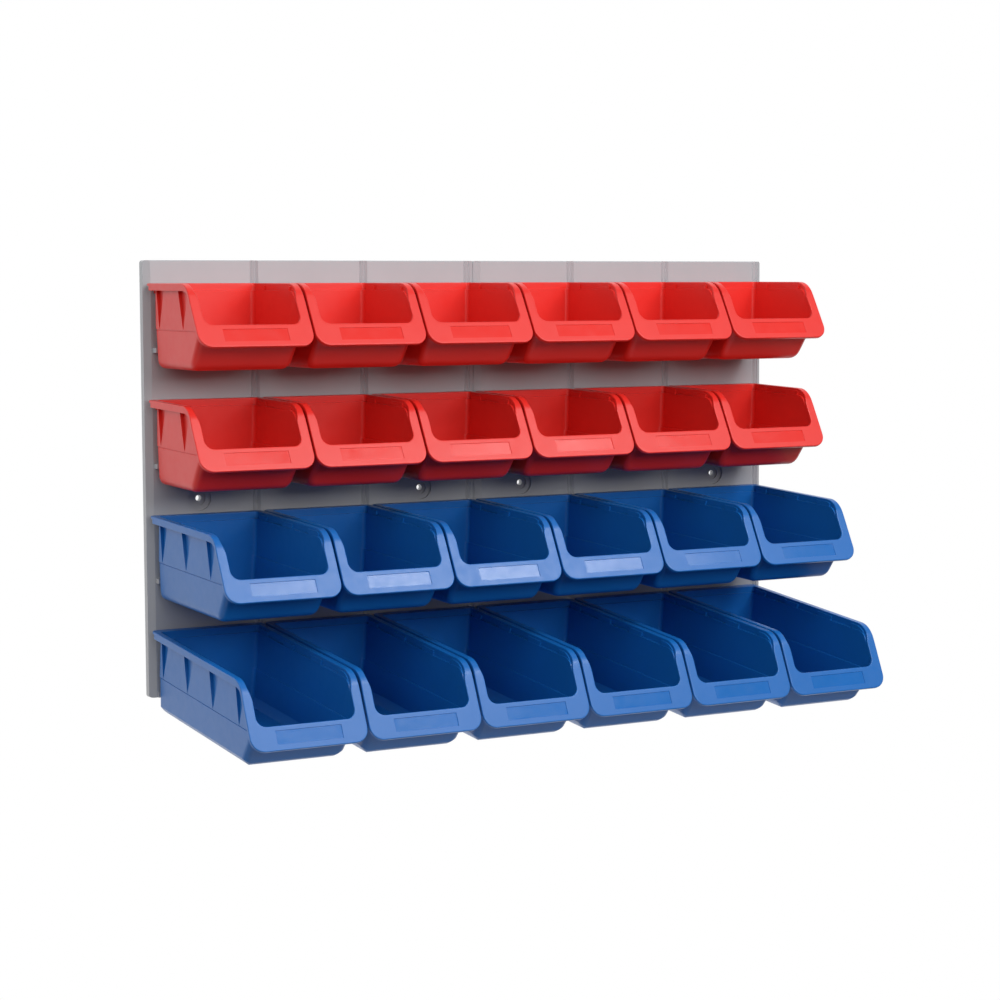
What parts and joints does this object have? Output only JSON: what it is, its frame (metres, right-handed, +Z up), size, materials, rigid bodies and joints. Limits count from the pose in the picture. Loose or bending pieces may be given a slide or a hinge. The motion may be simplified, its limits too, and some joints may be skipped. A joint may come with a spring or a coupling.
{
  "type": "hanging parts bin rack",
  "caption": "Grey wall panel rack with hung open-front storage bins: two rows of small red ones over a row of medium and a row of long blue ones.",
  "frame": {"origin": "centre of the rack's back face, on the wall plane", "axes": "+X to the right along the rack seen from the front, +Y into the wall, +Z up"},
  "size_m": [0.637, 0.2119, 0.4013],
  "materials": {
    "panel_grey": "satin moulded polypropylene",
    "bin_red": "semi-gloss moulded polypropylene",
    "bin_blue": "semi-gloss moulded polypropylene"
  },
  "bodies": {
    "panels": {"wall_panel_left": "panel_grey", "wall_panel_right": "panel_grey"},
    "small_bin_top_row_1": {"small_bin_top_row_1": "bin_red"},
    "small_bin_top_row_2": {"small_bin_top_row_2": "bin_red"},
    "small_bin_top_row_3": {"small_bin_top_row_3": "bin_red"},
    "small_bin_top_row_4": {"small_bin_top_row_4": "bin_red"},
    "small_bin_top_row_5": {"small_bin_top_row_5": "bin_red"},
    "small_bin_top_row_6": {"small_bin_top_row_6": "bin_red"},
    "small_bin_second_row_1": {"small_bin_second_row_1": "bin_red"},
    "small_bin_second_row_2": {"small_bin_second_row_2": "bin_red"},
    "small_bin_second_row_3": {"small_bin_second_row_3": "bin_red"},
    "small_bin_second_row_4": {"small_bin_second_row_4": "bin_red"},
    "small_bin_second_row_5": {"small_bin_second_row_5": "bin_red"},
    "small_bin_second_row_6": {"small_bin_second_row_6": "bin_red"},
    "medium_bin_third_row_1": {"medium_bin_third_row_1": "bin_blue"},
    "medium_bin_third_row_2": {"medium_bin_third_row_2": "bin_blue"},
    "medium_bin_third_row_3": {"medium_bin_third_row_3": "bin_blue"},
    "medium_bin_third_row_4": {"medium_bin_third_row_4": "bin_blue"},
    "medium_bin_third_row_5": {"medium_bin_third_row_5": "bin_blue"},
    "medium_bin_third_row_6": {"medium_bin_third_row_6": "bin_blue"},
    "long_bin_bottom_row_1": {"long_bin_bottom_row_1": "bin_blue"},
    "long_bin_bottom_row_2": {"long_bin_bottom_row_2": "bin_blue"},
    "long_bin_bottom_row_3": {"long_bin_bottom_row_3": "bin_blue"},
    "long_bin_bottom_row_4": {"long_bin_bottom_row_4": "bin_blue"},
    "long_bin_bottom_row_5": {"long_bin_bottom_row_5": "bin_blue"},
    "long_bin_bottom_row_6": {"long_bin_bottom_row_6": "bin_blue"}
  },
  "joints": [
    {"name": "lift_small_bin_top_row_1", "type": "slide", "parent": "panels", "child": "small_bin_top_row_1", "axis": [0, -0.0087, 1], "range_m": [0, 0.014]},
    {"name": "lift_small_bin_top_row_2", "type": "slide", "parent": "panels", "child": "small_bin_top_row_2", "axis": [0, -0.0087, 1], "range_m": [0, 0.014]},
    {"name": "lift_small_bin_top_row_3", "type": "slide", "parent": "panels", "child": "small_bin_top_row_3", "axis": [0, -0.0087, 1], "range_m": [0, 0.014]},
    {"name": "lift_small_bin_top_row_4", "type": "slide", "parent": "panels", "child": "small_bin_top_row_4", "axis": [0, -0.0087, 1], "range_m": [0, 0.014]},
    {"name": "lift_small_bin_top_row_5", "type": "slide", "parent": "panels", "child": "small_bin_top_row_5", "axis": [0, -0.0087, 1], "range_m": [0, 0.014]},
    {"name": "lift_small_bin_top_row_6", "type": "slide", "parent": "panels", "child": "small_bin_top_row_6", "axis": [0, -0.0087, 1], "range_m": [0, 0.014]},
    {"name": "lift_small_bin_second_row_1", "type": "slide", "parent": "panels", "child": "small_bin_second_row_1", "axis": [0, -0.0349, 0.9994], "range_m": [0, 0.014]},
    {"name": "lift_small_bin_second_row_2", "type": "slide", "parent": "panels", "child": "small_bin_second_row_2", "axis": [0, -0.0349, 0.9994], "range_m": [0, 0.014]},
    {"name": "lift_small_bin_second_row_3", "type": "slide", "parent": "panels", "child": "small_bin_second_row_3", "axis": [0, -0.0349, 0.9994], "range_m": [0, 0.014]},
    {"name": "lift_small_bin_second_row_4", "type": "slide", "parent": "panels", "child": "small_bin_second_row_4", "axis": [0, -0.0349, 0.9994], "range_m": [0, 0.014]},
    {"name": "lift_small_bin_second_row_5", "type": "slide", "parent": "panels", "child": "small_bin_second_row_5", "axis": [0, -0.0349, 0.9994], "range_m": [0, 0.014]},
    {"name": "lift_small_bin_second_row_6", "type": "slide", "parent": "panels", "child": "small_bin_second_row_6", "axis": [0, -0.0349, 0.9994], "range_m": [0, 0.014]},
    {"name": "lift_medium_bin_third_row_1", "type": "slide", "parent": "panels", "child": "medium_bin_third_row_1", "axis": [0, -0.0523, 0.9986], "range_m": [0, 0.014]},
    {"name": "lift_medium_bin_third_row_2", "type": "slide", "parent": "panels", "child": "medium_bin_third_row_2", "axis": [0, -0.0523, 0.9986], "range_m": [0, 0.014]},
    {"name": "lift_medium_bin_third_row_3", "type": "slide", "parent": "panels", "child": "medium_bin_third_row_3", "axis": [0, -0.0523, 0.9986], "range_m": [0, 0.014]},
    {"name": "lift_medium_bin_third_row_4", "type": "slide", "parent": "panels", "child": "medium_bin_third_row_4", "axis": [0, -0.0523, 0.9986], "range_m": [0, 0.014]},
    {"name": "lift_medium_bin_third_row_5", "type": "slide", "parent": "panels", "child": "medium_bin_third_row_5", "axis": [0, -0.0523, 0.9986], "range_m": [0, 0.014]},
    {"name": "lift_medium_bin_third_row_6", "type": "slide", "parent": "panels", "child": "medium_bin_third_row_6", "axis": [0, -0.0523, 0.9986], "range_m": [0, 0.014]},
    {"name": "lift_long_bin_bottom_row_1", "type": "slide", "parent": "panels", "child": "long_bin_bottom_row_1", "axis": [0, -0.1132, 0.9936], "range_m": [0, 0.014]},
    {"name": "lift_long_bin_bottom_row_2", "type": "slide", "parent": "panels", "child": "long_bin_bottom_row_2", "axis": [0, -0.1132, 0.9936], "range_m": [0, 0.014]},
    {"name": "lift_long_bin_bottom_row_3", "type": "slide", "parent": "panels", "child": "long_bin_bottom_row_3", "axis": [0, -0.1132, 0.9936], "range_m": [0, 0.014]},
    {"name": "lift_long_bin_bottom_row_4", "type": "slide", "parent": "panels", "child": "long_bin_bottom_row_4", "axis": [0, -0.1132, 0.9936], "range_m": [0, 0.014]},
    {"name": "lift_long_bin_bottom_row_5", "type": "slide", "parent": "panels", "child": "long_bin_bottom_row_5", "axis": [0, -0.1132, 0.9936], "range_m": [0, 0.014]},
    {"name": "lift_long_bin_bottom_row_6", "type": "slide", "parent": "panels", "child": "long_bin_bottom_row_6", "axis": [0, -0.1132, 0.9936], "range_m": [0, 0.014]}
  ]
}
